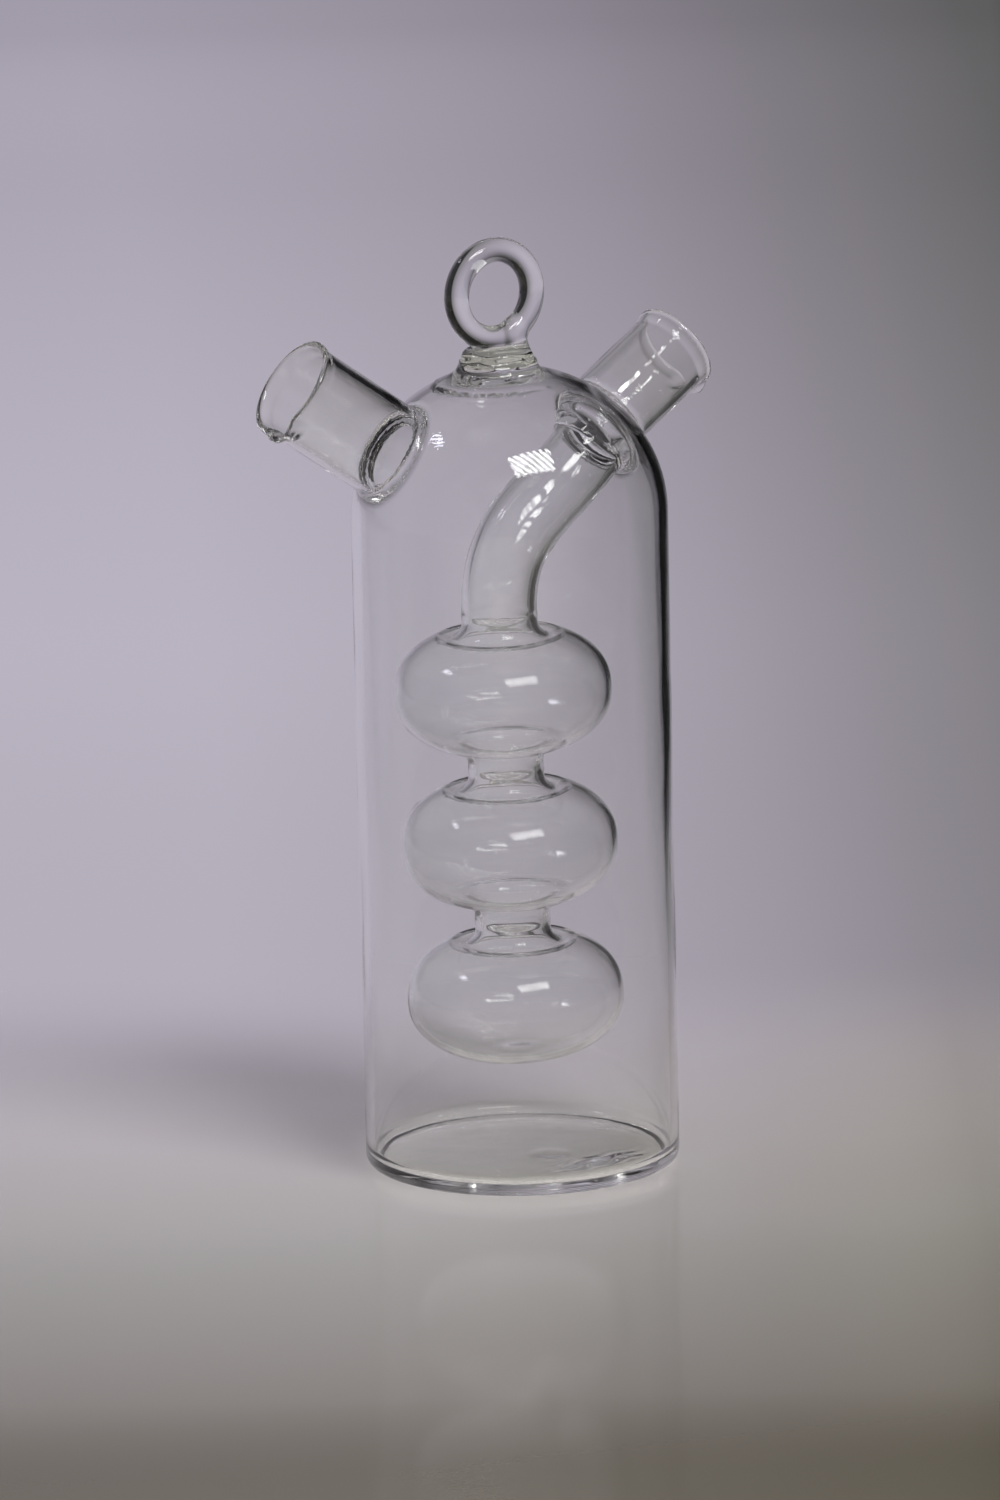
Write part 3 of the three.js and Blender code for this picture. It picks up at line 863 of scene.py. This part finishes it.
def sweep():
    """A level table that bends up into the backdrop, in steps that start fine and grow."""
    profile = [(-1.6, 0.0), (-0.6, 0.0), (-0.2, 0.0), (TABLE_END, 0.0)]
    for i in range(1, BEND_STEPS + 1):
        angle = math.radians(BEND_ANGLE) * (i / BEND_STEPS) ** 1.8
        profile.append((TABLE_END + BEND_RADIUS * math.sin(angle), BEND_RADIUS * (1 - math.cos(angle))))
    columns = [-0.9, -0.6, -0.4, -0.2, 0.0, 0.2, 0.4, 0.6]
    lift = np.array([0, 0, SWEEP_LIFT])
    points = [tuple(level_right * x + level_back * d + (0, 0, z) + lift) for x in columns for d, z in profile]
    rows = len(profile)
    faces = [
        (c * rows + i, c * rows + i + 1, (c + 1) * rows + i + 1, (c + 1) * rows + i)
        for c in range(len(columns) - 1)
        for i in range(rows - 1)
    ]
    mesh = bpy.data.meshes.new("studio_sweep")
    mesh.from_pydata(points, [], faces)
    for face in mesh.polygons:
        face.use_smooth = True
    mesh.materials.append(sweep_material())
    backdrop = bpy.data.objects.new("studio_sweep", mesh)
    bpy.context.scene.collection.objects.link(backdrop)


sweep()


# ---- Light: a louvred softbox from the front right, a small cool one on the left, a hidden fill, and a dim room ----
def softbox(name, place, size, power, colour="#FFFFFF", target=(0, 0, 0.09)):
    """A rectangular lamp in metres and watts, turned to the middle of the bottle. place is across, back and up
    as the camera sees it."""
    data = bpy.data.lights.new(name, "AREA")
    data.shape = "RECTANGLE"
    data.size, data.size_y = size
    data.energy = power
    data.color = linear(colour)[:3]
    lamp = bpy.data.objects.new(name, data)
    bpy.context.scene.collection.objects.link(lamp)
    spot = level_right * place[0] + level_back * place[1] + np.array([0, 0, place[2]])
    back = unit(spot - np.array(target))
    x = unit(np.cross((0, 0, 1), back))
    y = np.cross(back, x)
    lamp.matrix_world = Matrix([(x[k], y[k], back[k], spot[k]) for k in range(3)] + [(0, 0, 0, 1)])
    return lamp


def louvre(lamp, slats, turn):
    """Slats in front of a lamp, which the glass mirrors as a hatched patch."""
    lamp.data.use_nodes = True
    tree = lamp.data.node_tree
    tree.nodes.clear()
    own = node(tree, "ShaderNodeNewGeometry").outputs["Parametric"]
    turned = node(tree, "ShaderNodeMapping", {"Rotation": (0, 0, math.radians(turn))}, {"Vector": own}).outputs[0]
    bars = node(
        tree,
        "ShaderNodeTexWave",
        {"wave_type": "BANDS", "bands_direction": "X", "Scale": slats / 3.14},
        {"Vector": turned},
    )
    gate = node(tree, "ShaderNodeMapRange", {"From Min": 0.35, "From Max": 0.6}, {"Value": bars.outputs["Fac"]})
    glow = node(tree, "ShaderNodeEmission", None, {"Strength": gate.outputs[0]})
    node(tree, "ShaderNodeOutputLight", None, {"Surface": glow.outputs[0]})


key = softbox("key_softbox", place=(0.36, -0.71, 1.18), size=(0.66, 0.40), power=18.0)
louvre(key, slats=7, turn=-20)
left_lamp = softbox("left_softbox", place=(-0.83, 0.10, 1.14), size=(0.24, 0.13), power=1.4, colour="#F2F0FF")
louvre(left_lamp, slats=3, turn=30)
# the light that fills the table from the front right comes off a wall, so the glass mirrors no edge of it
wall_fill = softbox("wall_fill", place=(0.74, -0.98, 0.90), size=(0.9, 0.6), power=33.0)
wall_fill.visible_glossy = False
wall_fill.visible_transmission = False


ROOM_TONE = "#8E8A92"
ROOM_DARK_TONE = "#1E1D20"


def room_light():
    """The room round the table: dim, paler on the left and in front, and dark behind on the right, below
    the ceiling."""
    world = bpy.data.worlds.new("room")
    bpy.context.scene.world = world
    world.use_nodes = True
    tree = world.node_tree
    tree.nodes.clear()
    way = node(tree, "ShaderNodeTexCoord").outputs["Generated"]
    # dark sets in from the left to the right, from the front to the back, and from the ceiling down
    shares = []
    for axis, low, high in ((level_right, -0.2, 0.35), (level_back, -0.7, -0.2), ((0, 0, 1), 0.75, 0.45)):
        along = node(tree, "ShaderNodeVectorMath", {"operation": "DOT_PRODUCT", 1: tuple(axis)}, {0: way})
        shares.append(smooth_share(tree, along.outputs["Value"], (low, high)))
    dark = shares[0]
    for share in shares[1:]:
        dark = node(tree, "ShaderNodeMath", {"operation": "MULTIPLY"}, {0: dark, 1: share}).outputs[0]
    tone = node(
        tree, "ShaderNodeMix", {"data_type": "RGBA", 6: linear(ROOM_TONE), 7: linear(ROOM_DARK_TONE)}, {0: dark}
    )
    glow = node(tree, "ShaderNodeBackground", {"Strength": 1.0}, {"Color": tone.outputs[2]})
    node(tree, "ShaderNodeOutputWorld", None, {"Surface": glow.outputs[0]})


room_light()

scene = bpy.context.scene
scene.view_settings.view_transform = "Standard"
# light that enters the foot runs to and fro inside the floor before it comes out
scene.cycles.max_bounces = 48
scene.cycles.transmission_bounces = 48
scene.cycles.glossy_bounces = 48
scene.cycles.transparent_max_bounces = 24
